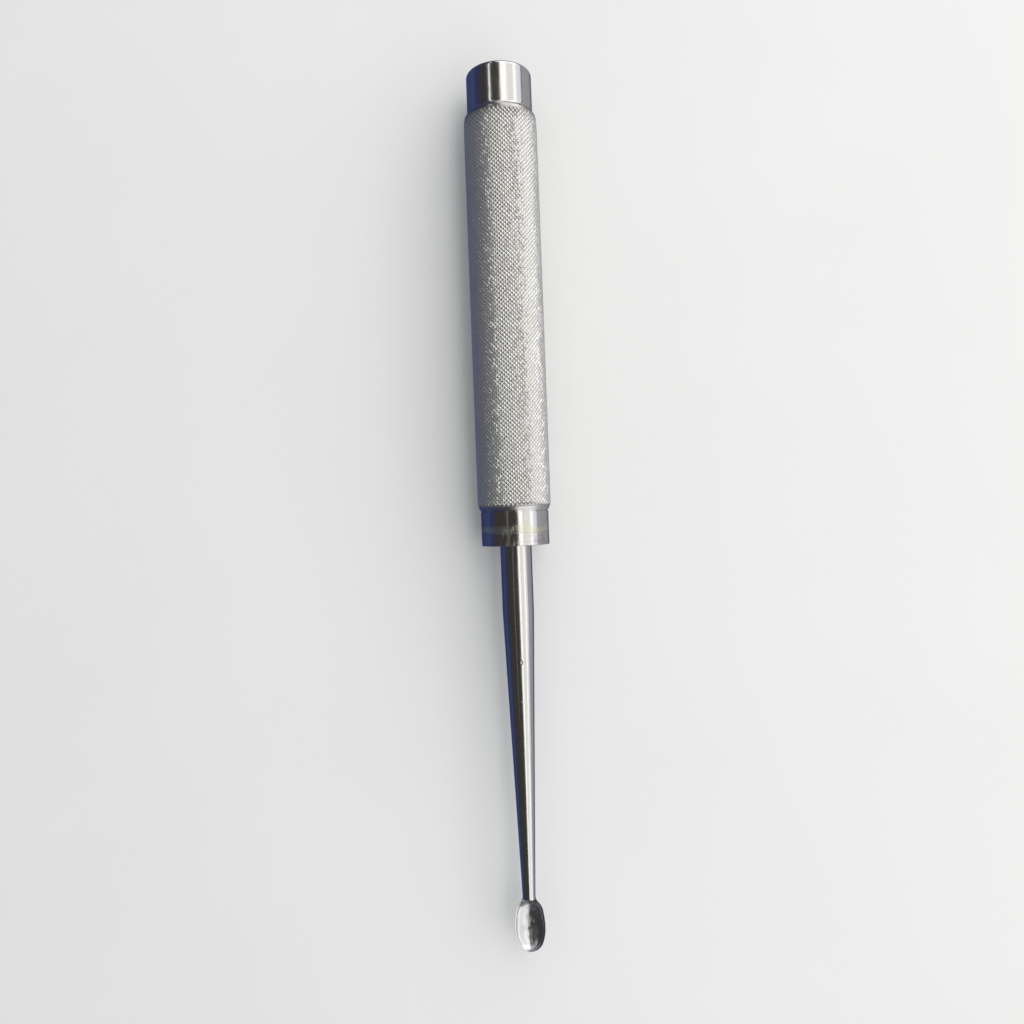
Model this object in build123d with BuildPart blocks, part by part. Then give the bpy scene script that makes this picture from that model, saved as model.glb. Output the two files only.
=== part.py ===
from build123d import *
import os
from math import sqrt

# A bone curette in stainless steel: a hollow knurled handle, closed by a plug at each
# end, and a one-piece shank that tapers to a sharp oval cup.
# The tool's axis lies along Y with the butt's end face at the origin and the cup at -Y.
# The cup's hollow faces +Z.

# Whole tool
overall_length = 280.0
fit_clearance = 0.05

# Handle tube
bore_diameter = 18.5
grip_wall = 2.4
grip_length = 123.6
grip_edge = 0.35
grip_edge_length = 1.0
shoulder_length = 1.1
ring_wall = 1.5
ring_length = 7.0
ring_edge = 0.15
groove_width = 0.35
groove_depth = 0.3

# Butt plug
butt_seat = 1.1
butt_length = 14.0
butt_edge = 0.45
butt_foot_size = 0.8
butt_foot_lip = 0.2
butt_spigot_length = 10.0
spigot_chamfer = 0.8

# Front plug
flange_length = 4.0
flange_edge = 0.2
front_spigot_length = 10.0

# Shank
tang_diameter = 8.0
tang_chamfer = 0.5
shank_diameter = 10.0
shank_straight_length = 21.3
neck_diameter = 4.1

# Cup
cup_width = 9.8
cup_nose_length = 7.5
cup_nose_radius = 4.3
cup_back_length = 9.3
cup_back_radius = 4.4
neck_flare_radius = 4.0
rim_height = -0.3
crown_radius = 3.1
hollow_wall = 0.15
hollow_lift = 0.8
ramp_radius = 2.0
ramp_setback = 0.8

# Places along the axis
grip_start = -butt_length
grip_end = grip_start - grip_length
ring_start = grip_end - shoulder_length
ring_end = ring_start - ring_length
front_face = ring_end - flange_length
taper_start = front_face - shank_straight_length
tip = -overall_length
widest = tip + cup_nose_length

# Radii
bore_radius = bore_diameter / 2
grip_radius = bore_radius + grip_wall
ring_radius = bore_radius + ring_wall
spigot_radius = bore_radius - fit_clearance
butt_radius = bore_radius + butt_seat
foot_radius = butt_radius + butt_foot_size
tang_radius = tang_diameter / 2
tang_bore_radius = tang_radius + fit_clearance
shank_radius = shank_diameter / 2
neck_radius = neck_diameter / 2
cup_radius = cup_width / 2


def quarter_oval(half_width, length, end_radius):
    """Side arc's radius of a quarter oval, and the point where it meets the end arc.

    The side arc leaves the half width square to it and runs into an end arc about a
    point on the long axis. The point is given across and along, from the oval's middle.
    """
    end_centre = length - end_radius
    side_radius = (half_width**2 + end_centre**2 - end_radius**2) / (2 * (half_width - end_radius))
    reach = end_radius / (side_radius - end_radius)
    return side_radius, (side_radius - half_width) * reach, end_centre * (1 + reach)


os.makedirs("parts", exist_ok=True)

# Handle tube: knurled barrel, shoulder, undercut groove and smooth front ring
groove_end = ring_start - groove_width
with BuildPart() as handle_tube:
    with BuildSketch(Plane.XY):
        with BuildLine():
            Polyline(
                (bore_radius, grip_start),
                (grip_radius - grip_edge, grip_start),
                (grip_radius, grip_start - grip_edge_length),
                (grip_radius, grip_end),
                (ring_radius, ring_start),
                (ring_radius - groove_depth, ring_start),
                (ring_radius - groove_depth, groove_end),
                (ring_radius - ring_edge, groove_end),
                (ring_radius, groove_end - ring_edge),
                (ring_radius, ring_end + ring_edge),
                (ring_radius - ring_edge, ring_end),
                (bore_radius, ring_end),
                close=True,
            )
        make_face()
    revolve(axis=Axis.Y)
handle_tube.part.label = "handle_tube"

# Butt plug: turned head with a chamfered end, a weld fillet at its foot and a spigot
foot_top = grip_start + butt_foot_lip
spigot_end = grip_start - butt_spigot_length
with BuildPart() as butt_plug:
    with BuildSketch(Plane.XY):
        with BuildLine():
            Polyline(
                (0, spigot_end),
                (0, 0),
                (butt_radius - butt_edge, 0),
                (butt_radius, -butt_edge),
                (butt_radius, foot_top + butt_foot_size),
                (foot_radius, foot_top),
                (foot_radius, grip_start),
                (spigot_radius, grip_start),
                (spigot_radius, spigot_end + spigot_chamfer),
                (spigot_radius - spigot_chamfer, spigot_end),
                close=True,
            )
        make_face()
    revolve(axis=Axis.Y)
butt_plug.part.label = "butt_plug"

# Front plug: flange level with the smooth ring, spigot in the tube, bore for the tang
front_spigot_end = ring_end + front_spigot_length
with BuildPart() as front_plug:
    with BuildSketch(Plane.XY):
        with BuildLine():
            Polyline(
                (tang_bore_radius, front_spigot_end),
                (spigot_radius - spigot_chamfer, front_spigot_end),
                (spigot_radius, front_spigot_end - spigot_chamfer),
                (spigot_radius, ring_end),
                (ring_radius - ring_edge, ring_end),
                (ring_radius, ring_end - ring_edge),
                (ring_radius, front_face + flange_edge),
                (ring_radius - flange_edge, front_face),
                (tang_bore_radius, front_face),
                close=True,
            )
        make_face()
    revolve(axis=Axis.Y)
front_plug.part.label = "front_plug"

# Outside of the cup: an oval nose, an oval back and a flare that runs into the neck
nose_side_radius, across, along = quarter_oval(cup_radius, cup_nose_length, cup_nose_radius)
nose_join = (across, widest - along)
back_side_radius, across, along = quarter_oval(cup_radius, cup_back_length, cup_back_radius)
back_join = (across, widest + along)
back_centre = widest + cup_back_length - cup_back_radius
flare_across = neck_radius + neck_flare_radius
flare_reach = cup_back_radius + neck_flare_radius
neck = back_centre + sqrt(flare_reach**2 - flare_across**2)
flare_share = cup_back_radius / flare_reach
flare_join = (flare_across * flare_share, back_centre + (neck - back_centre) * flare_share)

# Shank: tang, straight, taper, neck, flare and the egg of the cup in one turned outline
with BuildPart() as curette_shank:
    with BuildSketch(Plane.XY):
        with BuildLine():
            Polyline(
                (0, tip),
                (0, front_spigot_end),
                (tang_radius - tang_chamfer, front_spigot_end),
                (tang_radius, front_spigot_end - tang_chamfer),
                (tang_radius, front_face),
                (shank_radius, front_face),
                (shank_radius, taper_start),
                (neck_radius, neck),
            )
            RadiusArc((neck_radius, neck), flare_join, -neck_flare_radius)
            RadiusArc(flare_join, back_join, cup_back_radius)
            RadiusArc(back_join, (cup_radius, widest), back_side_radius)
            RadiusArc((cup_radius, widest), nose_join, nose_side_radius)
            RadiusArc(nose_join, (0, tip), cup_nose_radius)
        make_face()
    revolve(axis=Axis.Y)

    # Crown: the flare's top is dressed down to the height of the neck
    clear = cup_width
    with BuildSketch(Plane.XZ.offset(-neck)):
        with Locations((0, clear)):
            Rectangle(2 * clear, 2 * clear)
        with Locations((0, neck_radius - crown_radius)):
            Circle(crown_radius, mode=Mode.SUBTRACT)
            Rectangle(2 * clear, 2 * crown_radius, align=(Align.CENTER, Align.MAX), mode=Mode.SUBTRACT)
    extrude(amount=neck - tip, mode=Mode.SUBTRACT)

    # Rim: the top of the egg is ground away, up a short ramp to the neck
    hollow_back_length = cup_back_length - hollow_wall
    ramp_top = widest + hollow_back_length + ramp_setback
    ramp_foot = ramp_top - ramp_radius
    with BuildSketch(Plane.YZ):
        with BuildLine():
            Polyline(
                (ramp_top, rim_height + ramp_radius),
                (ramp_top, clear),
                (tip - clear, clear),
                (tip - clear, rim_height),
                (ramp_foot, rim_height),
            )
            RadiusArc((ramp_foot, rim_height), (ramp_top, rim_height + ramp_radius), -ramp_radius)
        make_face()
    extrude(amount=clear, both=True, mode=Mode.SUBTRACT)

    # Hollow: an oval bowl inside the rim, its centre line lifted so the edge is thin
    hollow_height = rim_height + hollow_lift
    rim_half_width = sqrt(cup_radius**2 - rim_height**2) - hollow_wall
    hollow_radius = sqrt(rim_half_width**2 + hollow_lift**2)
    hollow_back = widest + hollow_back_length
    hollow_back_radius = cup_back_radius - hollow_wall
    hollow_nose_radius = cup_nose_radius - hollow_wall
    back_side_radius, across, along = quarter_oval(
        hollow_radius, hollow_back_length, hollow_back_radius
    )
    back_join = (across, widest + along)
    front_side_radius, across, along = quarter_oval(
        hollow_radius, cup_nose_length - hollow_wall, hollow_nose_radius
    )
    front_join = (across, widest - along)
    with BuildSketch(Plane.XY.offset(hollow_height)):
        with BuildLine():
            RadiusArc((0, hollow_back), back_join, hollow_back_radius)
            RadiusArc(back_join, (hollow_radius, widest), back_side_radius)
            RadiusArc((hollow_radius, widest), front_join, front_side_radius)
            RadiusArc(front_join, (0, tip + hollow_wall), hollow_nose_radius)
            Line((0, tip + hollow_wall), (0, hollow_back))
        make_face()
    revolve(axis=Axis((0, 0, hollow_height), (0, 1, 0)), mode=Mode.SUBTRACT)
curette_shank.part.label = "curette_shank"

for piece in (handle_tube, butt_plug, front_plug, curette_shank):
    export_step(piece.part, f"parts/{piece.part.label}.step")
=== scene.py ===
import logging
from dataclasses import dataclass, field
from enum import Enum
from math import cos, pi, radians, sin, sqrt, tan

import bpy
import numpy as np
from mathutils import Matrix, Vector


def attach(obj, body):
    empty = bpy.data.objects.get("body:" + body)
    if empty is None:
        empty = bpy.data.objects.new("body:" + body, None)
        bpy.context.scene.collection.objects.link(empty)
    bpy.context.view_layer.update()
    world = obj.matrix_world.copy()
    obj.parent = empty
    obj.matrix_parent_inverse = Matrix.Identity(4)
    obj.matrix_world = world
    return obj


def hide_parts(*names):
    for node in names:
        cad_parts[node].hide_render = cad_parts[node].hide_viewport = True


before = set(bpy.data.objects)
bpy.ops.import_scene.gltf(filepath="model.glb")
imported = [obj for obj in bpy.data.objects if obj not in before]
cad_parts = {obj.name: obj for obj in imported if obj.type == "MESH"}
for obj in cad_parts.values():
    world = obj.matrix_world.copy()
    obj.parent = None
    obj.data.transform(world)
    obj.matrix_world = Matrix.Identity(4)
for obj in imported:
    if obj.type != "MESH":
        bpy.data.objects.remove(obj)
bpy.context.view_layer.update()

# The scene is in metres; every size below is in millimetres unless it says otherwise
MM = 0.001
DIRT = (0.2, 0.19, 0.17, 1)
SHARP_ANGLE = radians(38)

log = logging.getLogger("bone_curette")

Array = np.ndarray
Material, Object, Socket = bpy.types.Material, bpy.types.Object, bpy.types.NodeSocket
Pair, Triple = tuple[float, float], tuple[float, float, float]
Colour = tuple[float, float, float, float]


# Surfaces


@dataclass
class Surface:
    """Points in millimetres and the faces between them, gathered patch by patch.

    A patch is an array of faces that share a finish and are either smooth or flat.
    """

    points: list[Array] = field(default_factory=list)
    patches: list[tuple[Array, int | Array, bool]] = field(default_factory=list)
    count: int = 0

    def add_points(self, points: Array) -> Array:
        """Adds points and gives their numbers.

        Args:
            points: Any array whose last axis is x, y, z.

        Returns:
            The numbers, in the shape of the array without its last axis.
        """
        shape = points.shape[:-1]
        numbers = np.arange(self.count, self.count + int(np.prod(shape))).reshape(shape)
        self.points.append(points.reshape(-1, 3))
        self.count += numbers.size
        return numbers

    def add_faces(self, faces: Array, finish: int | Array = 0, smooth: bool = True) -> None:
        """Adds an array of faces, one row of point numbers for each."""
        self.patches.append((faces, finish, smooth))

    def loft(self, rings: Array, finish: int | Array = 0) -> None:
        """Joins each closed ring of a stack to the next.

        Args:
            rings: Point numbers, one row for each ring.
            finish: The finish's place in the piece's list, for all faces or as an array
                that spreads over bands by columns.
        """
        after = np.roll(rings, -1, axis=1)
        quads = np.stack([rings[:-1], after[:-1], after[1:], rings[1:]], axis=-1)
        each = np.broadcast_to(finish, quads.shape[:2])
        self.add_faces(quads.reshape(-1, 4), each.ravel())

    def cap(self, ring: Array, along: float, height: float = 0.0) -> None:
        """Closes a ring to a point at a place along the tool's axis and a height above it."""
        pole = self.add_points(np.array([[0, along, height]]))[0]
        self.add_faces(np.stack([ring, np.roll(ring, -1), np.full_like(ring, pole)], axis=-1))

    def volume(self) -> float:
        """Volume inside the faces, negative where they point inwards.

        It is a sixth of the sum, over all triangles, of the triple product of corners.

        Returns:
            The volume in cubic millimetres.
        """
        points = np.concatenate(self.points)
        total = 0.0
        for faces, _, _ in self.patches:
            for turn in range(1, faces.shape[1] - 1):
                a, b, c = points[faces[:, 0]], points[faces[:, turn]], points[faces[:, turn + 1]]
                total += float(np.einsum("ij,ij->", a, np.cross(b, c)))
        return total / 6

    def make(self, name: str, finishes: list[Material]) -> Object:
        """Turns the surface into an object at the origin, with its faces outwards.

        Args:
            name: The piece's name.
            finishes: Its materials, in the order that the patches count them.

        Returns:
            The new object.
        """
        outward = 1 if self.volume() > 0 else -1
        faces = [patch[0][:, ::outward] for patch in self.patches]
        corners = np.concatenate([array.ravel() for array in faces])
        sides = np.concatenate([np.full(len(array), array.shape[1]) for array in faces])
        finish = np.concatenate([np.broadcast_to(p[1], len(p[0])) for p in self.patches])
        smooth = np.concatenate([np.full(len(p[0]), p[2]) for p in self.patches])
        mesh = bpy.data.meshes.new(name)
        mesh.vertices.add(self.count)
        mesh.vertices.foreach_set("co", (np.concatenate(self.points) * MM).ravel())
        mesh.loops.add(len(corners))
        mesh.loops.foreach_set("vertex_index", corners)
        mesh.polygons.add(len(sides))
        mesh.polygons.foreach_set("loop_start", np.concatenate([[0], np.cumsum(sides)[:-1]]))
        for material in finishes:
            mesh.materials.append(material)
        mesh.polygons.foreach_set("material_index", finish)
        mesh.update(calc_edges=True)
        mesh.polygons.foreach_set("use_smooth", smooth)
        mesh.set_sharp_from_angle(angle=SHARP_ANGLE)
        mesh.validate()
        piece = bpy.data.objects.new(name, mesh)
        bpy.context.scene.collection.objects.link(piece)
        return piece


def turn_about_axis(profile: Array, angles: Array) -> Array:
    """Points of a profile turned about the tool's axis.

    A profile point (r, y) at angle a goes to (r cos a, y, r sin a).

    Args:
        profile: Radius and place along the axis, one row for each ring.
        angles: The columns' angles, in radians.

    Returns:
        Points as rings by columns by three.
    """
    radius, along = profile[:, :1], profile[:, 1:]
    x, z = radius * np.cos(angles), radius * np.sin(angles)
    return np.stack([x, np.broadcast_to(along, x.shape), z], axis=-1)


def rounded_profile(corners: list[Triple], steps: int = 6) -> Array:
    """A profile through corners, each rounded by an arc, with a row just beyond each arc.

    The arc of radius q touches both sides at q / tan(half the corner's angle) from the
    corner. The row beyond it keeps the long faces' shading flat.

    Args:
        corners: Radius, place along the axis and rounding of each corner. The first and
            last are ends and stay as they are.
        steps: Rows in each arc.

    Returns:
        Radius and place along the axis, one row for each ring.
    """
    support = 0.04
    rows = [np.array([corners[0][:2]])]
    for before, corner, after in zip(corners, corners[1:], corners[2:]):
        point = np.array(corner[:2])
        back, ahead = np.array(before[:2]) - point, np.array(after[:2]) - point
        back, ahead = back / np.linalg.norm(back), ahead / np.linalg.norm(ahead)
        half = np.arccos(np.clip(back @ ahead, -1, 1)) / 2
        if corner[2] == 0 or half > radians(89.9):
            rows.append(point[None, :])
            continue
        reach = corner[2] / tan(half)
        middle = point + (back + ahead) / np.linalg.norm(back + ahead) * corner[2] / sin(half)
        start, end = point + back * reach - middle, point + ahead * reach - middle
        sweep = pi - 2 * half
        share = np.linspace(0, 1, steps + 1)[:, None]
        arc = (np.sin((1 - share) * sweep) * start + np.sin(share * sweep) * end) / sin(sweep)
        first, last = point + back * (reach + support), point + ahead * (reach + support)
        rows += [first[None, :], middle + arc, last[None, :]]
    rows.append(np.array([corners[-1][:2]]))
    return np.concatenate(rows)


def arc_rows(centre: Pair, radius: float, start: float, end: float, steps: int) -> Array:
    """Points (across, along) on an arc, from one angle to another, in radians."""
    angles = np.linspace(start, end, steps + 1)
    return np.stack([centre[0] + radius * np.cos(angles), centre[1] + radius * np.sin(angles)], -1)


def leg(slant: float | Array, other: float | Array) -> Array:
    """The side that a right triangle has beside another side, nothing where that is longer."""
    return np.sqrt(np.clip(slant**2 - other**2, 0, None))


# Shader nodes


class NodeBench:
    """Adds nodes to a tree and joins their sockets."""

    def __init__(self, tree: bpy.types.NodeTree) -> None:
        """Keeps the tree that the nodes go into."""
        self.tree = tree

    def put(self, kind: str, *values: object, **named: object) -> bpy.types.Node:
        """Adds a node.

        Args:
            kind: The node's type without its ShaderNode prefix.
            values: Its inputs in order: a socket to link, a constant, or None to skip.
            named: Inputs by name with _ for spaces, or, in small letters, settings.

        Returns:
            The node.
        """
        node = self.tree.nodes.new("ShaderNode" + kind)
        for key, value in named.items():
            if key[0].islower():
                setattr(node, key, value)
            else:
                self.feed(node.inputs[key.replace("_", " ")], value)
        for socket, value in zip(node.inputs, values):
            self.feed(socket, value)
        return node

    def feed(self, socket: Socket, value: object) -> None:
        """Links a socket to another, or gives it a constant.

        Args:
            socket: The input to feed.
            value: An output, a constant, or None to leave the input alone.
        """
        if isinstance(value, Socket):
            self.tree.links.new(value, socket)
        elif value is not None:
            socket.default_value = value

    def place(self) -> Socket:
        """Object coordinates, in metres."""
        return self.put("TexCoord").outputs["Object"]

    def apart(self, vector: Socket) -> list[Socket]:
        """The x, y and z of a vector."""
        return list(self.put("SeparateXYZ", vector).outputs)

    def math(self, operation: str, *values: object) -> Socket:
        """Result of a Math node."""
        return self.put("Math", *values, operation=operation).outputs[0]

    def times(self, first: object, *factors: object) -> Socket:
        """Product of its values.

        Args:
            first: A socket or a number.
            factors: What multiplies it in turn.

        Returns:
            The product.
        """
        for factor in factors:
            first = self.math("MULTIPLY", first, factor)
        return first

    def plus(self, value: object, factor: object, start: object) -> Socket:
        """A value times a factor, added to a start."""
        return self.math("MULTIPLY_ADD", value, factor, start)

    def span(self, value: Socket, low: float, high: float) -> Socket:
        """A value's share of the way from one bound to another, held inside them."""
        return self.put("MapRange", value, low, high, 0.0, 1.0).outputs[0]

    def fade(self, value: Socket, bounds: Pair) -> Socket:
        """A distance's share of the way between two bounds in millimetres."""
        return self.span(value, bounds[0] * MM, bounds[1] * MM)

    def blend(self, share: object, first: object, second: object) -> Socket:
        """Two colours mixed by a share.

        Args:
            share: How much there is of the second colour, from 0 to 1.
            first: One colour.
            second: The other colour.

        Returns:
            The mixed colour.
        """
        node = self.put("Mix", data_type="RGBA")
        for number, value in ((0, share), (6, first), (7, second)):
            self.feed(node.inputs[number], value)
        return node.outputs[2]

    def noise(self, place: Socket, scale: float, detail: float = 2, rough: float = 0.5) -> Socket:
        """A smooth random value about one half."""
        node = self.put("TexNoise", Vector=place, Scale=scale, Detail=detail, Roughness=rough)
        return node.outputs[0]

    def stretched(self, place: Socket, scale: Triple, turn: float = 0.0) -> Socket:
        """Coordinates turned about x and z by an angle in degrees, then scaled."""
        slant = (radians(turn), 0, radians(turn))
        return self.put("Mapping", Vector=place, Rotation=slant, Scale=scale).outputs[0]


def new_group(name: str, outputs: dict[str, str]) -> tuple[NodeBench, dict[str, Socket]]:
    """Starts a shader node group with an Amount input.

    Args:
        name: The group's name.
        outputs: Its outputs and their kinds, Float or Color.

    Returns:
        A bench in the group, and the group's inner sockets by name.
    """
    tree = bpy.data.node_groups.new(name, "ShaderNodeTree")
    amount = tree.interface.new_socket(name="Amount", in_out="INPUT", socket_type="NodeSocketFloat")
    amount.default_value = 1.0
    for label, kind in outputs.items():
        tree.interface.new_socket(name=label, in_out="OUTPUT", socket_type="NodeSocket" + kind)
    given, result = tree.nodes.new("NodeGroupInput"), tree.nodes.new("NodeGroupOutput")
    sockets = {"Amount": given.outputs[0]}
    sockets.update({label: result.inputs[label] for label in outputs})
    return NodeBench(tree), sockets


class Grain(Enum):
    """Which way the fine lines of a finish run, as the scale of their noise on each axis."""

    AROUND = (60.0, 6500.0, 60.0)
    ALONG = (3800.0, 45.0, 3800.0)
    MATT = (2600.0, 2600.0, 2600.0)
    BOWL = (2600.0, 170.0, 0.0)


class SharedEffects:
    """The node groups that more than one finish uses, each made once."""

    bowl_centre = -272.0
    bowl_half_length = 9.2
    hair_scale = (2600.0, 130.0, 2600.0)
    hair_slants = (24, -37)
    patch_scale = 420

    def __init__(self) -> None:
        """Builds every group."""
        self.grain = {way: self.build_grain(way) for way in Grain}
        self.handling = self.build_handling()

    def bowl_place(self, bench: NodeBench, place: Socket) -> Socket:
        """Coordinates whose lines bend with the bowl's sides.

        The place across is divided by the bowl's width there, the root of one less the
        square of the share of the way to its end.

        Args:
            bench: What the nodes are added with.
            place: Object coordinates.

        Returns:
            The bent coordinates.
        """
        across, along, _ = bench.apart(place)
        share = bench.math("SUBTRACT", along, self.bowl_centre * MM)
        share = bench.math("DIVIDE", share, self.bowl_half_length * MM)
        width = bench.math("SUBTRACT", 1.06, bench.times(share, share))
        width = bench.math("SQRT", bench.math("MAXIMUM", width, 0.05))
        return bench.put("CombineXYZ", bench.math("DIVIDE", across, width), along).outputs[0]

    def build_grain(self, way: Grain) -> bpy.types.NodeTree:
        """Fine parallel lines: stretched noise, with a coarser set that drifts through it.

        Args:
            way: Which way the lines run.

        Returns:
            The group, which puts out Height and Lines.
        """
        bench, group = new_group(f"grain_{way.name.lower()}", {"Height": "Float", "Lines": "Float"})
        place = bench.place()
        if way is Grain.BOWL:
            place = self.bowl_place(bench, place)
        fine = bench.noise(bench.stretched(place, way.value), 1.0, 3, 0.65)
        broad = tuple(v * 0.31 for v in way.value)
        coarse = bench.noise(bench.stretched(place, broad), 1.0, 2, 0.5)
        lines = bench.plus(coarse, 0.5, bench.times(fine, 0.5))
        bench.feed(group["Height"], bench.times(lines, group["Amount"]))
        bench.feed(group["Lines"], bench.span(lines, 0.35, 0.65))
        return bench.tree

    def build_handling(self) -> bpy.types.NodeTree:
        """Marks of use: smears, slow waves, and sparse hairline scratches at two slants.

        Returns:
            The group, which puts out Smear, Scratch and Wave.
        """
        outputs = {"Smear": "Float", "Scratch": "Float", "Wave": "Float"}
        bench, group = new_group("handling", outputs)
        place = bench.place()
        hair = []
        for slant in self.hair_slants:
            lines = bench.noise(bench.stretched(place, self.hair_scale, slant), 1, 1)
            near = bench.math("ABSOLUTE", bench.math("SUBTRACT", lines, 0.5))
            patch = bench.span(bench.noise(place, self.patch_scale + slant, 2), 0.56, 0.68)
            hair.append(bench.times(bench.span(near, 0.012, 0.0), patch))
        marks = {
            "Smear": bench.span(bench.noise(place, 170, 3, 0.55), 0.38, 0.68),
            "Scratch": bench.math("MAXIMUM", *hair),
            "Wave": bench.noise(place, 330, 1),
        }
        for label, value in marks.items():
            bench.feed(group[label], bench.times(value, group["Amount"]))
        return bench.tree


@dataclass(frozen=True)
class Mark:
    """A small ring or spot on a surface, pressed in, dirty or both.

    Its mask is one less the distance from the ring's line, in widths of the line.
    """

    place: Triple
    radius: float
    width: float
    depth: float = 0.0
    dirt: float = 0.0

    def mask(self, bench: NodeBench) -> Socket:
        """How much of the mark each point has.

        Args:
            bench: What the nodes are added with.

        Returns:
            The mask, from 0 to 1.
        """
        centre = tuple(v * MM for v in self.place)
        away = bench.put("VectorMath", bench.place(), centre, operation="DISTANCE").outputs["Value"]
        line = bench.math("ABSOLUTE", bench.math("SUBTRACT", away, self.radius * MM))
        return bench.fade(line, (self.width, 0.25 * self.width))


@dataclass(frozen=True)
class SteelFinish:
    """A steel surface with its grain, smears, slow waves, hairlines and marks."""

    name: str
    roughness: float
    grain: Grain
    grain_depth: float
    colour: Colour = (0.69, 0.68, 0.66, 1)
    smear: float = 0.04
    scratch: float = 0.08
    scratch_depth: float = 0.6
    line_haze: float = 0.04
    line_tint: float = 0.35
    dull_share: float = 0.82
    wave: float = 0.004
    metal: float = 1.0
    open_up: float = 0.0
    marks: tuple[Mark, ...] = ()

    def dress(self, effects: SharedEffects) -> Material:
        """Makes the material.

        Args:
            effects: The shared node groups.

        Returns:
            The material, with its colour, roughness and bump from nodes.
        """
        material = bpy.data.materials.new(self.name)
        material.use_nodes = True
        bench = NodeBench(material.node_tree)
        shader = material.node_tree.nodes["Principled BSDF"]
        grain = bench.put("Group", node_tree=effects.grain[self.grain])
        handling = bench.put("Group", node_tree=effects.handling)
        lines, smear = grain.outputs["Lines"], handling.outputs["Smear"]
        scratch, wave = handling.outputs["Scratch"], handling.outputs["Wave"]
        dull = tuple(c * self.dull_share for c in self.colour[:3]) + (1,)
        colour = bench.blend(bench.times(lines, self.line_tint), self.colour, dull)
        colour, haze, metal = self.tint(bench, colour)
        rough = bench.math("ADD", haze, self.roughness)
        for value, share in ((smear, self.smear), (lines, self.line_haze), (scratch, self.scratch)):
            rough = bench.plus(value, share, rough)
        height = bench.plus(scratch, -self.scratch_depth, grain.outputs["Height"])
        height = bench.plus(wave, self.wave / self.grain_depth, height)
        for mark in self.marks:
            mask = mark.mask(bench)
            colour = bench.blend(bench.times(mask, mark.dirt), colour, DIRT)
            height = bench.plus(mask, -mark.depth / self.grain_depth, height)
        bench.feed(shader.inputs["Base Color"], colour)
        bench.feed(shader.inputs["Metallic"], metal)
        bench.feed(shader.inputs["Roughness"], rough)
        bump = bench.put("Bump", Strength=1.0, Distance=self.grain_depth * MM, Height=height)
        bench.feed(shader.inputs["Normal"], self.opened(bench, bump.outputs[0]))
        return material

    def opened(self, bench: NodeBench, normal: Socket) -> Socket:
        """Normals raised across the tool, so that a hollow mirrors the room as a flatter one.

        The normal's share along Y grows by the amount and the amount is added to its Z.

        Args:
            bench: What the nodes are added with.
            normal: The normal with its bump.

        Returns:
            The raised normal, or the given one where nothing opens.
        """
        if not self.open_up:
            return normal
        stretch, lift = (1.0, 1.0 + self.open_up, 1.0), (0.0, 0.0, self.open_up)
        raised = bench.put("VectorMath", normal, stretch, lift, operation="MULTIPLY_ADD").outputs[0]
        return bench.put("VectorMath", raised, operation="NORMALIZE").outputs[0]

    def tint(self, bench: NodeBench, colour: Socket) -> tuple[Socket, object, object]:
        """Colour with any tint over it, added roughness and share of bare metal."""
        return colour, 0.0, self.metal


@dataclass(frozen=True)
class WeldedSteel(SteelFinish):
    """Polished steel with the olive and violet heat colours beside a weld."""

    seam: float = 0.0
    drift: float = 3.2
    olive: Colour = (0.65, 0.67, 0.49, 1)
    violet: Colour = (0.46, 0.39, 0.46, 1)
    band_far: Pair = (2.6, 1.5)
    band_near: Pair = (-0.25, 0.25)
    ahead_near: Pair = (-0.3, -0.9)
    ahead_far: Pair = (-4.6, -3.4)
    blotch_side: Pair = (3.5, 6.0)
    streak_left: Pair = (-5.0, -3.0)
    streak_right: Pair = (1.6, 0.2)
    streak_behind: Pair = (3.0, 1.0)
    streak_scale: Triple = (3300.0, 240.0, 3300.0)

    def tint(self, bench: NodeBench, colour: Socket) -> tuple[Socket, object, object]:
        """Lays heat colours over the steel by the distance from the seam along Y.

        Behind the seam lies a dull olive band whose edges wander. Ahead of it lie violet
        blotches on one side, and short fine streaks along the tool on the other.

        Args:
            bench: What the nodes are added with.
            colour: The bare steel's colour.

        Returns:
            The colour, the added roughness and the share of bare metal.
        """
        place = bench.place()
        across, along, _ = bench.apart(place)
        wander = bench.math("SUBTRACT", bench.noise(place, 210, 3), 0.5)
        away = bench.math("SUBTRACT", along, self.seam * MM)
        away = bench.plus(wander, self.drift * MM, away)
        band = bench.times(bench.fade(away, self.band_far), bench.fade(away, self.band_near))
        uneven = bench.span(bench.noise(place, 130, 2), 0.36, 0.6)
        band = bench.times(band, bench.plus(uneven, 0.4, 0.35))
        colour = bench.blend(band, colour, self.olive)
        ahead = bench.times(bench.fade(away, self.ahead_near), bench.fade(away, self.ahead_far))
        spots = bench.span(bench.noise(place, 520, 2), 0.48, 0.64)
        spots = bench.times(spots, bench.fade(across, self.blotch_side))
        colour = bench.blend(bench.times(ahead, spots, 0.45), colour, self.violet)
        patch = bench.times(bench.fade(across, self.streak_left), bench.fade(across, self.streak_right))
        patch = bench.times(patch, bench.fade(away, self.streak_behind))
        streaks = bench.noise(bench.stretched(place, self.streak_scale), 1, 2)
        streaks = bench.times(bench.span(streaks, 0.5, 0.62), patch)
        haze = bench.plus(streaks, 0.3, bench.times(band, 0.12))
        coat = bench.plus(streaks, 0.12, bench.times(band, 0.15))
        return colour, haze, bench.math("SUBTRACT", 1.0, coat)


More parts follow.
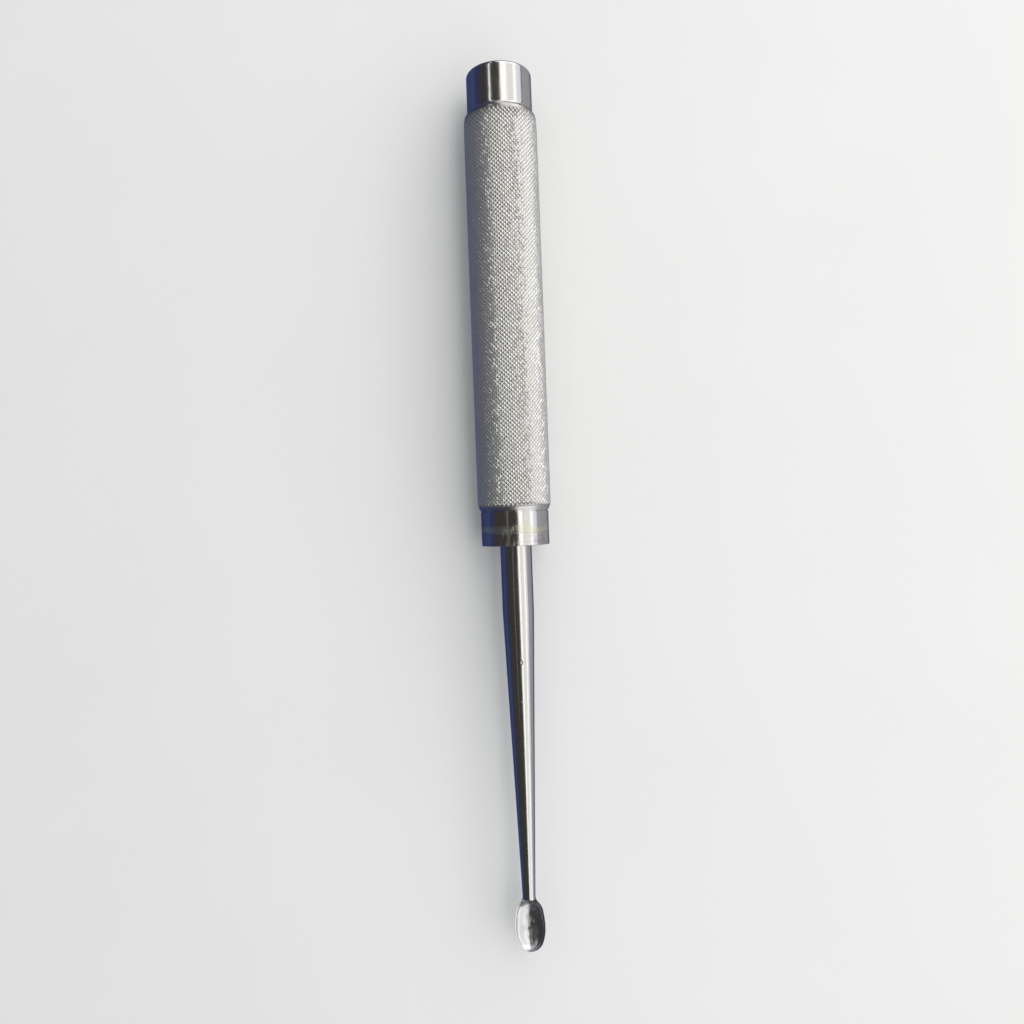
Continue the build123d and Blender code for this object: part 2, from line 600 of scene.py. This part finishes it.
@dataclass(frozen=True)
class KnurledSteel(SteelFinish):
    """Matt steel whose valleys are darkened with painted shade, by the distance from the axis."""

    valley_radius: float = 11.39
    crest_radius: float = 11.48
    valley_shade: Colour = (0.2, 0.19, 0.18, 1)
    valley_shade_share: float = 0.6

    def tint(self, bench: NodeBench, colour: Socket) -> tuple[Socket, object, object]:
        """Darkens the steel below the crests with painted shade.

        Args:
            bench: What the nodes are added with.
            colour: The bare steel's colour.

        Returns:
            The colour, the added roughness and the share of bare metal.
        """
        across, _, height = bench.apart(bench.place())
        radius = bench.math("SQRT", bench.plus(across, across, bench.times(height, height)))
        deep = bench.fade(radius, (self.crest_radius, self.valley_radius))
        # Painted shade: the colour darkens towards the valleys, where the knurl shades itself
        return bench.blend(bench.times(deep, self.valley_shade_share), colour, self.valley_shade), 0.0, self.metal


# Pieces of the tool


@dataclass
class KnurledHandle:
    """The tube: diamond knurl, rounded shoulder, groove and smooth front ring, open inside.

    The knurl is two crossing sets of starts. With m half starts round the barrel and n
    half rows along it, a diamond stands wherever m + n is even and its corners are the
    valley crossings, where m + n is odd. Each diamond is a low pyramid with a flat top.
    """

    bore_radius: float = 9.25
    grip_radius: float = 11.65
    ring_radius: float = 10.75
    grip_start: float = -14.0
    ring_start: float = -138.7
    ring_end: float = -145.7
    groove_width: float = 0.35
    groove_depth: float = 0.3
    end_drop: float = 0.36
    end_reach: float = 1.6
    shoulder_start: float = -136.5
    knurl_start: float = -14.7
    knurl_end: float = -137.6
    knurl_fade: float = 0.3
    starts: int = 52
    half_rows: int = 182
    knurl_depth: float = 0.26
    top_share: float = 0.34
    silt: float = 0.02
    wear: float = 0.025
    tilt: float = 0.012
    seed: int = 7

    def crest_radius(self, along: Array) -> Array:
        """Radius over the crests by place along the axis.

        At the butt it falls short by a drop that fades away exponentially. At the front
        the drop grows with the five-quarters power of the way down the shoulder.

        Args:
            along: Places along the axis.

        Returns:
            The radius at each place.
        """
        butt = self.end_drop * np.exp((along - self.grip_start) / self.end_reach)
        share = np.clip((self.shoulder_start - along) / (self.shoulder_start - self.ring_start), 0, 1)
        return self.grip_radius - butt - (self.grip_radius - self.ring_radius) * share**1.25

    def knurl_point(self, half_start: Array, row: Array, drop: Array) -> Array:
        """Points by half start, half row and drop below the crests.

        The angle is pi times the half start over the number of starts. The drop fades to
        nothing at the first and the last row.

        Args:
            half_start: Half starts round the barrel.
            row: Half rows along it.
            drop: Depth below the crests.

        Returns:
            The points, with x, y and z on the last axis.
        """
        angle = half_start * pi / self.starts
        along = self.knurl_start + (self.knurl_end - self.knurl_start) * row / self.half_rows
        inside = np.minimum(self.knurl_start - along, along - self.knurl_end)
        radius = self.crest_radius(along) - drop * np.clip(inside / self.knurl_fade, 0, 1)
        return np.stack([radius * np.cos(angle), along, radius * np.sin(angle)], axis=-1)

    def knurl(self, surface: Surface) -> tuple[Array, Array]:
        """Adds the knurl.

        Args:
            surface: What the points and faces go into.

        Returns:
            The closed rings of point numbers along its butt and front ends.
        """
        random = np.random.default_rng(self.seed)
        rows, starts = self.half_rows, self.starts
        row_number, start_number = np.arange(rows + 1)[:, None], np.arange(starts)[None, :]
        row = row_number + np.zeros((1, starts))
        centre = 2 * start_number + row % 2
        depth = self.knurl_depth - random.uniform(0, self.silt, row.shape)
        valley = surface.add_points(self.knurl_point(centre - 1, row, depth))
        worn = random.uniform(0, self.wear, row.shape)
        share = self.top_share * random.uniform(0.85, 1.15, row.shape)
        tilt = random.uniform(-self.tilt, self.tilt, (2,) + row.shape)
        tops = []
        for across, along in ((-1, 0), (0, -1), (1, 0), (0, 1)):
            drop = worn + np.abs(tilt[0] * across) + np.abs(tilt[1] * along)
            step = np.clip(row + share * along, 0, rows)
            points = self.knurl_point(centre + share * across, step, drop)
            tops.append(surface.add_points(points))
        left, behind, right, ahead = tops
        # A valley point of row n stands left of that row's diamond of the same number
        valley_right = np.roll(valley, -1, axis=1)
        neighbour = (start_number + row_number % 2) % starts
        valley_behind = valley[np.clip(row_number - 1, 0, rows), neighbour]
        valley_ahead = valley[np.clip(row_number + 1, 0, rows), neighbour]
        flanks = [
            (valley, valley_behind, behind, left),
            (valley_behind, valley_right, right, behind),
            (valley_right, valley_ahead, ahead, right),
            (valley_ahead, valley, left, ahead),
        ]
        whole, first, last = slice(1, rows), slice(0, 1), slice(rows, rows + 1)
        flats = [(corners, whole) for corners in [tops, *flanks]]
        # The end rows are cut through the middle of their diamonds
        flats += [(corners, first) for corners in [(left, right, ahead), *flanks[2:]]]
        flats += [(corners, last) for corners in [(left, behind, right), *flanks[:2]]]
        for corners, part in flats:
            faces = np.stack([corner[part].ravel() for corner in corners], axis=-1)
            surface.add_faces(faces, smooth=False)
        ends = [np.stack([valley[r], left[r], right[r]], axis=-1).ravel() for r in (0, rows)]
        return ends[0], ends[1]

    def crest_rows(self, start: float, end: float, steps: int) -> Array:
        """Rows of the smooth barrel between two places along the axis, ends left out."""
        along = np.linspace(start, end, steps + 2)[1:-1]
        return np.stack([self.crest_radius(along), along], axis=-1)

    def build(self, finishes: list[Material]) -> Object:
        """Makes the tube, with its knurl, collar, weld band and shoulder in four finishes.

        Args:
            finishes: The materials of the knurl, the collar, the weld band and the shoulder.

        Returns:
            The tube.
        """
        surface = Surface()
        butt_end, front_end = self.knurl(surface)
        middle = np.arange(self.starts) * 2.0
        columns = np.stack([middle - 1, middle - self.top_share, middle + self.top_share], -1)
        angles = columns.ravel() * pi / self.starts
        groove_end = self.ring_start - self.groove_width
        floor_radius = self.ring_radius - self.groove_depth
        foot_radius = float(self.crest_radius(np.array(self.grip_start)))
        turned = rounded_profile(
            [
                (foot_radius, self.grip_start, 0),
                (self.bore_radius, self.grip_start, 0.1),
                (self.bore_radius, self.ring_end, 0.05),
                (self.ring_radius, self.ring_end, 0.12),
                (self.ring_radius, groove_end, 0.1),
                (floor_radius, groove_end, 0.05),
                (floor_radius, self.ring_start, 0.05),
                (self.ring_radius, self.ring_start, 0),
            ]
        )
        butt = self.crest_rows(self.knurl_start, self.grip_start, 3)
        shoulder = self.crest_rows(self.ring_start, self.knurl_end, 9)
        profile = np.concatenate([butt, turned, shoulder])
        rings = surface.add_points(turn_about_axis(profile, angles))
        band = np.arange(len(rings) - 1)
        finish = np.where(band < len(butt), 2, 1)
        finish[-len(shoulder) :] = 3
        surface.loft(rings, finish[:, None])
        surface.loft(np.stack([rings[-1], front_end]), 3)
        surface.loft(np.stack([butt_end, rings[0]]), 2)
        return surface.make("knurled_tube", finishes)


@dataclass
class TurnedPlug:
    """A plug turned about the axis from a profile of corners."""

    name: str
    columns: int = 208
    spigot_radius: float = 9.2
    spigot_end: float = 0.0
    spigot_chamfer: float = 0.8

    def corners(self) -> list[Triple]:
        """Radius, place and rounding of each corner, from the inner end to the outer."""
        raise NotImplementedError

    def spigot(self, seat: float) -> list[Triple]:
        """Corners of the chamfered spigot, from its inner end to its seat along the axis.

        Args:
            seat: Place along the axis where the spigot ends.

        Returns:
            Radius, place and rounding of each corner.
        """
        chamfer = self.spigot_chamfer
        slant = chamfer if seat > self.spigot_end else -chamfer
        return [
            (self.spigot_radius - chamfer, self.spigot_end, 0.1),
            (self.spigot_radius, self.spigot_end + slant, 0.1),
            (self.spigot_radius, seat, 0),
        ]

    def finish(self, radius: Array, along: Array) -> Array:
        """Finish of each band of rows by its middle; all of it is the first."""
        return np.zeros(len(along), int)

    def build(self, finishes: list[Material]) -> Object:
        """Turns the profile; ends on the axis close to a point, others join in a ring.

        Args:
            finishes: The materials, in the order that the finish method counts them.

        Returns:
            The plug.
        """
        surface = Surface()
        corners = self.corners()
        closed = corners[0][0] > 0
        profile = rounded_profile(corners + corners[:1] if closed else corners)
        angles = np.arange(self.columns) * 2 * pi / self.columns
        used = profile[:-1] if closed else profile[1:-1]
        rings = surface.add_points(turn_about_axis(used, angles))
        if closed:
            used, rings = profile, np.concatenate([rings, rings[:1]])
        middles = (used[1:] + used[:-1]) / 2
        surface.loft(rings, self.finish(middles[:, 0], middles[:, 1])[:, None])
        if not closed:
            surface.cap(rings[0], profile[0, 1])
            surface.cap(rings[-1], profile[-1, 1])
        return surface.make(self.name, finishes)


@dataclass
class ButtPlug(TurnedPlug):
    """The polished plug in the handle's butt, with a hazy weld fillet at its foot."""

    radius: float = 10.35
    edge: float = 1.1
    foot_radius: float = 11.15
    foot_lip: float = 0.2
    fillet: float = 0.8
    grip_start: float = -14.0
    spigot_end: float = -24.0

    def corners(self) -> list[Triple]:
        """The plug's outline from the spigot's end to the butt face.

        Returns:
            Radius, place and rounding of each corner.
        """
        foot_top = self.grip_start + self.foot_lip
        return [
            (0, self.spigot_end, 0),
            *self.spigot(self.grip_start),
            (self.foot_radius, self.grip_start, 0.05),
            (self.foot_radius, foot_top, 0.35),
            (self.radius, foot_top + self.fillet, 1.6),
            (self.radius, 0, self.edge),
            (0, 0, 0),
        ]

    def finish(self, radius: Array, along: Array) -> Array:
        """Finish of each band of rows: the second on the fillet, else the first."""
        haze_end = self.grip_start + self.foot_lip + self.fillet + 0.3
        return np.where((radius > self.spigot_radius + 0.2) & (along < haze_end), 1, 0)


@dataclass
class FrontPlug(TurnedPlug):
    """The welded plug in the front ring, bored for the shank's tang."""

    radius: float = 10.75
    edge: float = 0.2
    seam: float = -145.7
    face: float = -149.7
    spigot_end: float = -135.7
    bore_radius: float = 4.05

    def corners(self) -> list[Triple]:
        """The plug's outline once round, from the bore's inner end.

        Returns:
            Radius, place and rounding of each corner.
        """
        return [
            (self.bore_radius, self.spigot_end, 0),
            *self.spigot(self.seam),
            (self.radius, self.seam, 0.12),
            (self.radius, self.face, self.edge),
            (self.bore_radius, self.face, 0.05),
        ]


@dataclass
class CuretteShank:
    """Tang, tapered shank, neck and cup in one skin of rings along the axis.

    A ring runs over the hollow, along the rim's lip, under the outside and back. On a
    plain section the part over the top is the upper half circle.
    """

    tang_radius: float = 4.0
    tang_end: float = -135.7
    tang_chamfer: float = 0.5
    front_face: float = -149.7
    radius: float = 5.0
    taper_start: float = -171.0
    neck_radius: float = 2.05
    tip: float = -280.0
    cup_radius: float = 4.9
    nose_length: float = 7.5
    nose_radius: float = 4.3
    back_length: float = 9.3
    back_radius: float = 4.4
    flare_radius: float = 4.0
    rim: float = -0.3
    wall: float = 0.15
    hollow_lift: float = 0.8
    crown_radius: float = 3.1
    ramp_radius: float = 2.0
    ramp_setback: float = 0.8
    lip_drop: float = 0.25
    lip_share: float = 0.05
    lip_reach: float = 1.5
    closed_share: float = 0.8
    crown_edge: float = 0.18
    oval_steps: int = 200
    flare_steps: int = 120
    look_steps: int = 8000
    look_margin: float = 0.002
    neck_rings: int = 14
    ramp_rings: int = 22
    bowl_rings: int = 150
    land_rings: int = 6
    land_columns: int = 10
    hollow_columns: int = 80
    under_columns: int = 96

    def __post_init__(self) -> None:
        """Works out the outlines of the cup and its hollow."""
        self.widest = self.tip + self.nose_length
        self.back_centre = self.widest + self.back_length - self.back_radius
        flare_across = self.neck_radius + self.flare_radius
        flare_reach = self.back_radius + self.flare_radius
        self.neck = self.back_centre + sqrt(flare_reach**2 - flare_across**2)
        self.flare_turn = float(np.arctan2(self.neck - self.back_centre, flare_across))
        self.hollow_back = self.widest + self.back_length - self.wall
        self.ramp_top = self.hollow_back + self.ramp_setback
        self.ramp_foot = self.ramp_top - self.ramp_radius
        self.hollow_height = self.rim + self.hollow_lift
        inside = sqrt(self.cup_radius**2 - self.rim**2) - self.wall
        self.hollow_radius = sqrt(inside**2 + self.hollow_lift**2)
        self.point = self.tip + self.nose_radius - sqrt(self.nose_radius**2 - self.rim**2)
        self.outline = self.cup_outline()
        self.hollow = self.egg(self.hollow_radius, self.wall)

    def quarter_oval(
        self, half_width: float, length: float, end_radius: float, end_turn: float = pi / 2
    ) -> Array:
        """A quarter oval of a side arc that runs into an end arc.

        Args:
            half_width: Half the oval's width, where the side arc starts.
            length: Distance from there to the oval's end.
            end_radius: Radius of the end arc.
            end_turn: Where the end arc stops, as an angle from the direction across.

        Returns:
            Points (across, along) from the half width to the end on the long axis.
        """
        end_centre = length - end_radius
        side = (half_width**2 + end_centre**2 - end_radius**2) / (2 * (half_width - end_radius))
        turn = float(np.arctan2(end_centre, side - half_width))
        flank = arc_rows((half_width - side, 0), side, 0, turn, self.oval_steps)
        end = arc_rows((0, end_centre), end_radius, turn, end_turn, self.oval_steps)
        return np.concatenate([flank, end[1:]])

    def egg(self, half_width: float, wall: float, back_turn: float = pi / 2) -> Array:
        """Place along the axis and radius of an egg of two quarter ovals, from the tip.

        Args:
            half_width: Its radius where it is widest.
            wall: How far it lies inside the cup's outside at both ends.
            back_turn: Where the arc of its back stops.

        Returns:
            One row for each point.
        """
        nose = self.quarter_oval(half_width, self.nose_length - wall, self.nose_radius - wall)
        back = self.quarter_oval(
            half_width, self.back_length - wall, self.back_radius - wall, back_turn
        )
        nose = np.stack([self.widest - nose[::-1, 1], nose[::-1, 0]], -1)
        back = np.stack([self.widest + back[1:, 1], back[1:, 0]], -1)
        return np.concatenate([nose, back])

    def cup_outline(self) -> Array:
        """Place along the axis and radius of the turned outside, from tip to tang.

        The flare is an arc that meets the egg and the neck smoothly, the taper a line.

        Returns:
            One row for each point.
        """
        egg = self.egg(self.cup_radius, 0.0, self.flare_turn)
        centre = (self.neck_radius + self.flare_radius, self.neck)
        flare = arc_rows(centre, self.flare_radius, pi + self.flare_turn, pi, self.flare_steps)
        straight = np.array([[self.taper_start, self.radius], [self.front_face, self.radius]])
        return np.concatenate([egg, flare[1:, ::-1], straight])

    def top_height(self, along: Array) -> Array:
        """Height of the ground top: the rim, then a quarter round up the ramp."""
        reach = np.clip(along - self.ramp_foot, 0, self.ramp_radius)
        return self.rim + self.ramp_radius - leg(self.ramp_radius, reach)

    def hollow_reach(self, along: Array) -> Array:
        """Radius of the hollow by place along the axis, nothing beyond its ends."""
        return np.interp(along, self.hollow[:, 0], self.hollow[:, 1], left=0, right=0)

    def stations(self) -> Array:
        """Place along the axis and height of the top at each ring, from neck to tip.

        The top is out of reach behind the ramp. There it comes over a small round edge,
        down a short wall and the ramp. Rings crowd where the hollow opens and closes, by
        the cosine of an even share.

        Returns:
            One row for each ring.
        """
        start = self.ramp_top + self.crown_edge
        behind = np.linspace(self.neck, start, self.neck_rings)
        corner = (self.neck_radius - self.crown_edge, start)
        edge = arc_rows(corner, self.crown_edge, 0, radians(-87), 6)[1:]
        look = np.linspace(self.point, self.ramp_top, self.look_steps)
        is_open = self.hollow_reach(look) > np.abs(self.top_height(look) - self.hollow_height)
        front = look[is_open].min() - self.look_margin
        opening = look[is_open].max() + self.look_margin
        low_turn = float(np.arcsin((opening - self.ramp_foot) / self.ramp_radius))
        turn = np.linspace(radians(86), low_turn, self.ramp_rings)
        ramp = self.ramp_foot + self.ramp_radius * np.sin(turn)
        share = np.linspace(0, pi, self.bowl_rings)[1:-1]
        bowl = opening + (front - opening) * (1 - np.cos(share)) / 2
        land = self.point + (front - self.point) * np.linspace(1, 0, self.land_rings)[:-1] ** 2
        along = np.concatenate([ramp, bowl, land])
        behind = np.stack([behind, np.full(len(behind), self.cup_radius)], -1)
        ground = np.stack([along, self.top_height(along)], -1)
        return np.concatenate([behind, edge[:, ::-1], ground])

    def crown(self, across: Array, top: Array) -> Array:
        """Height of the dressed top: the crown's arch, flat beside it, no higher than top."""
        arch = leg(self.crown_radius, across) + self.neck_radius - self.crown_radius
        return np.minimum(np.maximum(arch, 0), top)

    def cup_rings(self, stations: Array) -> Array:
        """Points of every ring of the cup.

        With r the outside's radius, h the hollow's and t the top's height, the outside
        ends at height e, the lowest of t and where the arch meets the circle of r. Over
        the hollow the points follow its circle by angle, to a little below t, where the
        wall is drawn in by a small share of h. A convex lip joins that edge to the
        outside's. Where there is no hollow the points follow the crown.

        Args:
            stations: Place along the axis and top's height of each ring.

        Returns:
            Points as rings by columns by three.
        """
        along, top = stations[:, :1], stations[:, 1:]
        outside = np.interp(along, self.outline[:, 0], self.outline[:, 1])
        hollow = self.hollow_reach(along)
        fall = self.neck_radius - self.crown_radius
        meet = (self.crown_radius**2 - outside**2 - fall**2) / (-2 * fall)
        end_height = np.minimum(np.minimum(np.clip(meet, 0, None), outside), top)
        end_across = leg(outside, end_height)
        rise = top - self.hollow_height
        is_open = (hollow > np.abs(rise)) & (along < self.hollow_back)
        lip = np.clip(leg(hollow, rise) / self.lip_reach, 0, 1) ** 2
        # The part over the hollow, or over the crown where there is no hollow
        share = np.linspace(-1, 1, self.hollow_columns + 1)[None, :]
        closed_width = self.closed_share * end_across
        cosine = -(rise - self.lip_drop * lip) / np.where(is_open, hollow, 1)
        edge_angle = np.arccos(np.clip(cosine, -1, 1))
        drawn = hollow * (1 - self.lip_share * lip * share**6)
        over = np.where(is_open, drawn * np.sin(share * edge_angle), share * closed_width)
        over_height = np.where(
            is_open,
            self.hollow_height - drawn * np.cos(share * edge_angle),
            self.crown(share * closed_width, np.minimum(top, outside)),
        )
        # The lip from there out to the edge of the outside
        width, edge_height = over[:, -1:], over_height[:, -1:]
        step = np.arange(1, self.land_columns)[None, :] / self.land_columns
        land = width + (end_across - width) * step
        limit = np.where(top > self.rim, leg(outside, land), top)
        closed_height = np.minimum(self.crown(land, top), limit)
        lip_height = edge_height + (end_height - edge_height) * (1 - (1 - step) ** 2)
        land_height = np.where(is_open, lip_height, closed_height)
        # Under the outside, from the right edge to the left
        start = np.arctan2(end_height, end_across)
        sweep = np.linspace(0, 1, self.under_columns + 1)[None, :]
        angle = start - (pi + 2 * start) * sweep
        under, under_height = outside * np.cos(angle), outside * np.sin(angle)
        across = np.concatenate([over, land, under, -land[:, ::-1]], axis=1)
        height = np.concatenate([over_height, land_height, under_height, land_height[:, ::-1]], axis=1)
        return np.stack([across, np.broadcast_to(along, across.shape), height], axis=-1)

    def body_rings(self, first: Array) -> Array:
        """Round rings of the tang, the straight and the taper, in the cup's columns.

        Args:
            first: The cup's first ring, whose angles all of them take.

        Returns:
            Points as rings by columns by three.
        """
        angles = np.arctan2(first[:, 2], first[:, 0])
        profile = rounded_profile(
            [
                (0.4, self.tang_end, 0),
                (self.tang_radius - self.tang_chamfer, self.tang_end, 0.1),
                (self.tang_radius, self.tang_end - self.tang_chamfer, 0.1),
                (self.tang_radius, self.front_face, 0),
                (self.radius, self.front_face, 0.12),
                (self.radius, self.taper_start, 60),
                (self.neck_radius, self.neck, 0),
            ]
        )
        return turn_about_axis(profile[:-1], angles)

    def build(self, finishes: list[Material]) -> Object:
        """Makes the shank, with its hollow in the second finish.

        Args:
            finishes: The materials of the drawn steel and of the ground hollow.

        Returns:
            The shank.
        """
        surface = Surface()
        stations = self.stations()
        cup = self.cup_rings(stations)
        body = self.body_rings(cup[0])
        rings = surface.add_points(np.concatenate([body, cup]))
        ramp = len(body) + int(np.argmax(stations[:, 1] < self.neck_radius - 0.01))
        surface.loft(rings[: ramp + 1])
        surface.loft(rings[ramp:], np.where(np.arange(rings.shape[1]) < self.hollow_columns, 1, 0))
        surface.cap(rings[0], self.tang_end)
        surface.cap(rings[-1], self.point, self.rim)
        return surface.make("cup_and_shank", finishes)


# Floor, light and camera


def hang_light(name: str, size: Pair, glow: float, colour: Triple) -> Object:
    """Makes a rectangular light that hangs at the origin and shines down.

    Args:
        name: The light's name.
        size: Its width and length in metres.
        glow: What it would look like in a perfect mirror.
        colour: Its colour.

    Returns:
        The light, for its owner to place.
    """
    lamp = bpy.data.lights.new(name, "AREA")
    lamp.shape = "RECTANGLE"
    lamp.size, lamp.size_y = size
    lamp.color = colour
    lamp.energy = glow * pi * size[0] * size[1]
    light = bpy.data.objects.new(name, lamp)
    bpy.context.scene.collection.objects.link(light)
    return light


@dataclass(frozen=True)
class StripLight:
    """A long soft light beside the tool, seen from it as a band between two angles.

    Angles are from straight up, towards +X, and its ends are places along Y.
    """

    name: str
    low: float
    high: float
    glow: float
    colour: Triple = (1.0, 1.0, 1.0)
    start: float = -2700.0
    end: float = 2600.0
    reach: float = 1300.0

    def hang(self) -> None:
        """Makes the light, facing the tool's axis."""
        middle, half = radians((self.low + self.high) / 2), radians((self.high - self.low) / 2)
        size = (2 * self.reach * tan(half) * MM, (self.end - self.start) * MM)
        light = hang_light(self.name, size, self.glow, self.colour)
        reach = self.reach * MM
        light.location = (reach * sin(middle), (self.start + self.end) / 2 * MM, reach * cos(middle))
        light.rotation_euler = (0, middle, 0)


@dataclass
class Studio:
    """A pale table, a dim room and a bank of strip lights to the tool's right."""

    floor_height: float = -11.65
    floor_reach: float = 2500.0
    floor_steps: int = 41
    camera_lens: float = 29.5
    camera_height: float = 268.0
    camera_along: float = -139.2
    camera_across: float = -0.84
    camera_roll: float = -2.15
    end_light_size: Pair = (1.8, 0.9)
    end_light_place: Triple = (0.75, 1.6, 0.55)
    end_light_glow: float = 1.4
    lights: tuple[StripLight, ...] = (
        StripLight("lamp_over", 11, 27, 1.55, (1.0, 0.995, 0.97), end=350.0),
        StripLight("lamp_over_butt", 5, 28, 1.55, (1.0, 0.995, 0.97), start=350.0),
        StripLight("lamp_ceiling", 28.5, 51, 1.02, (1.0, 1.0, 0.96)),
        StripLight("lamp_window", 51.5, 64, 1.55, (1.0, 1.0, 0.98)),
        StripLight("lamp_low", 64.5, 78.5, 0.98, (1.0, 0.97, 1.0), end=350.0),
        StripLight("lamp_low_butt", 64.5, 85, 0.98, (1.0, 0.98, 0.99), start=350.0),
        StripLight("lamp_side", 78.5, 91, 0.36, start=-1100.0, end=350.0),
        StripLight("lamp_side_front", 78.5, 91, 1.3, end=-1100.0),
        StripLight("lamp_side_butt", 85, 91, 1.3, start=1000.0),
        StripLight("lamp_slit", -34.5, -30.5, 2.1, start=480.0),
        StripLight("lamp_thread", -26.5, -24.5, 0.35, start=-600.0, end=200.0),
    )

    def lay_floor(self) -> None:
        """A broad pale table top with a faint paper tooth.

        Glossy rays see a painted reflection of it instead: dark navy, turning grey from 14 to 27 mm to
        the tool's right.
        """
        steps = np.linspace(-self.floor_reach, self.floor_reach, self.floor_steps)
        x, y = np.meshgrid(steps, steps + self.camera_along, indexing="ij")
        surface = Surface()
        numbers = surface.add_points(np.stack([x, y, np.full_like(x, self.floor_height)], -1))
        quads = np.stack([numbers[:-1, :-1], numbers[1:, :-1], numbers[1:, 1:], numbers[:-1, 1:]], -1)
        surface.add_faces(quads.reshape(-1, 4))
        material = bpy.data.materials.new("table_top")
        material.use_nodes = True
        bench = NodeBench(material.node_tree)
        shader = material.node_tree.nodes["Principled BSDF"]
        shader.inputs["Roughness"].default_value = 0.75
        place = bench.place()
        across, _, _ = bench.apart(place)
        tone = bench.blend(bench.noise(place, 14, 3), (0.83, 0.83, 0.82, 1), (0.87, 0.87, 0.86, 1))
        # Painted reflection: what glossy rays see is navy near and left of the tool and grey to its
        # right, not the pale table
        painted_reflection = bench.blend(
            bench.span(across, 14 * MM, 27 * MM), (0.04, 0.062, 0.20, 1), (0.36, 0.355, 0.37, 1)
        )
        is_mirrored = bench.put("LightPath").outputs["Is Glossy Ray"]
        bench.feed(shader.inputs["Base Color"], bench.blend(is_mirrored, tone, painted_reflection))
        surface.make("table", [material])

    def light(self) -> None:
        """Hangs the lights and sets the room: pale to camera and diffuse rays, and a painted reflection
        of navy low down and dim brown higher up for glossy rays.
        """
        world = bpy.data.worlds.new("room")
        world.use_nodes = True
        bench = NodeBench(world.node_tree)
        _, _, height = bench.apart(bench.put("TexCoord").outputs["Generated"])
        # Painted reflection: glossy rays see navy and dim brown instead of the pale room
        painted_reflection = bench.blend(
            bench.span(height, 0.05, 0.5), (0.034, 0.05, 0.14, 1), (0.052, 0.048, 0.044, 1)
        )
        path = bench.put("LightPath").outputs
        is_soft = bench.math("MAXIMUM", path["Is Diffuse Ray"], path["Is Camera Ray"])
        background = world.node_tree.nodes["Background"]
        bench.feed(background.inputs["Color"], bench.blend(is_soft, painted_reflection, (0.42, 0.43, 0.44, 1)))
        bpy.context.scene.world = world
        for lamp in self.lights:
            lamp.hang()
        # An upright light beyond the butt shines in the butt's rim
        light = hang_light("lamp_end", self.end_light_size, self.end_light_glow, (1.0, 1.0, 1.0))
        light.location = self.end_light_place
        light.rotation_euler = (radians(-90), 0, 0)

    def place_camera(self) -> None:
        """Looks straight down from the photograph's height."""
        lens = bpy.data.cameras.new("camera")
        lens.sensor_width, lens.lens = 36, self.camera_lens
        lens.clip_start, lens.clip_end = 0.01, 20
        camera = bpy.data.objects.new("camera", lens)
        camera.location = Vector((self.camera_across, self.camera_along, self.camera_height)) * MM
        camera.rotation_euler = (0, 0, radians(self.camera_roll))
        bpy.context.scene.collection.objects.link(camera)
        bpy.context.scene.camera = camera
        bpy.context.scene.view_settings.view_transform = "Standard"


def fit(piece: Object, node: str) -> None:
    """Stands a piece in for a CAD node, on the tool's body.

    Args:
        piece: The piece that shows.
        node: The node that it replaces.
    """
    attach(piece, "root")
    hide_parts(node)
    triangles = sum(len(polygon.vertices) - 2 for polygon in piece.data.polygons)
    log.info("%s stands for %s: %d triangles", piece.name, node, triangles)


def main() -> None:
    """Builds the studio and the tool's four pieces."""
    logging.basicConfig(level=logging.INFO, format="%(name)s: %(message)s")
    studio = Studio()
    studio.place_camera()
    studio.lay_floor()
    studio.light()
    effects = SharedEffects()
    speck = Mark((7.7, -130.5, 8.7), 0.0, 0.4, dirt=0.9)
    size_ring = Mark((-0.05, -186.6, 4.49), 0.62, 0.34, depth=0.05, dirt=0.4)
    pit = Mark((-0.35, -274.2, -4.2), 0.0, 0.6, dirt=1.0)
    nick = Mark((0.15, -199.0, 4.09), 0.0, 0.2, depth=0.05)
    polished = SteelFinish("polished_steel", 0.13, Grain.AROUND, 0.0012).dress(effects)
    pale, grey, cool = (0.8, 0.79, 0.76, 1), (0.5, 0.49, 0.47, 1), (0.69, 0.69, 0.71, 1)
    hazy = SteelFinish("weld_steel", 0.26, Grain.MATT, 0.003, grey).dress(effects)
    satin = SteelFinish("shoulder_steel", 0.27, Grain.AROUND, 0.0012).dress(effects)
    collar = WeldedSteel("collar_steel", 0.12, Grain.AROUND, 0.0010, seam=-145.7).dress(effects)
    drawn = SteelFinish(
        "shank_steel", 0.14, Grain.ALONG, 0.0015, marks=(size_ring, nick)
    ).dress(effects)
    ground = SteelFinish(
        "ground_steel", 0.2, Grain.BOWL, 0.09, cool, wave=0.38, open_up=0.8, marks=(pit,)
    ).dress(effects)
    knurled = KnurledSteel(
        "knurled_steel", 0.3, Grain.MATT, 0.004, pale, metal=0.8, marks=(speck,)
    ).dress(effects)
    fit(KnurledHandle().build([knurled, collar, hazy, satin]), "handle_tube")
    fit(ButtPlug("butt_cap").build([polished, hazy]), "butt_plug")
    fit(FrontPlug("front_collar").build([collar]), "front_plug")
    fit(CuretteShank().build([drawn, ground]), "curette_shank")
    bpy.context.view_layer.update()


if __name__ == "__main__":
    main()
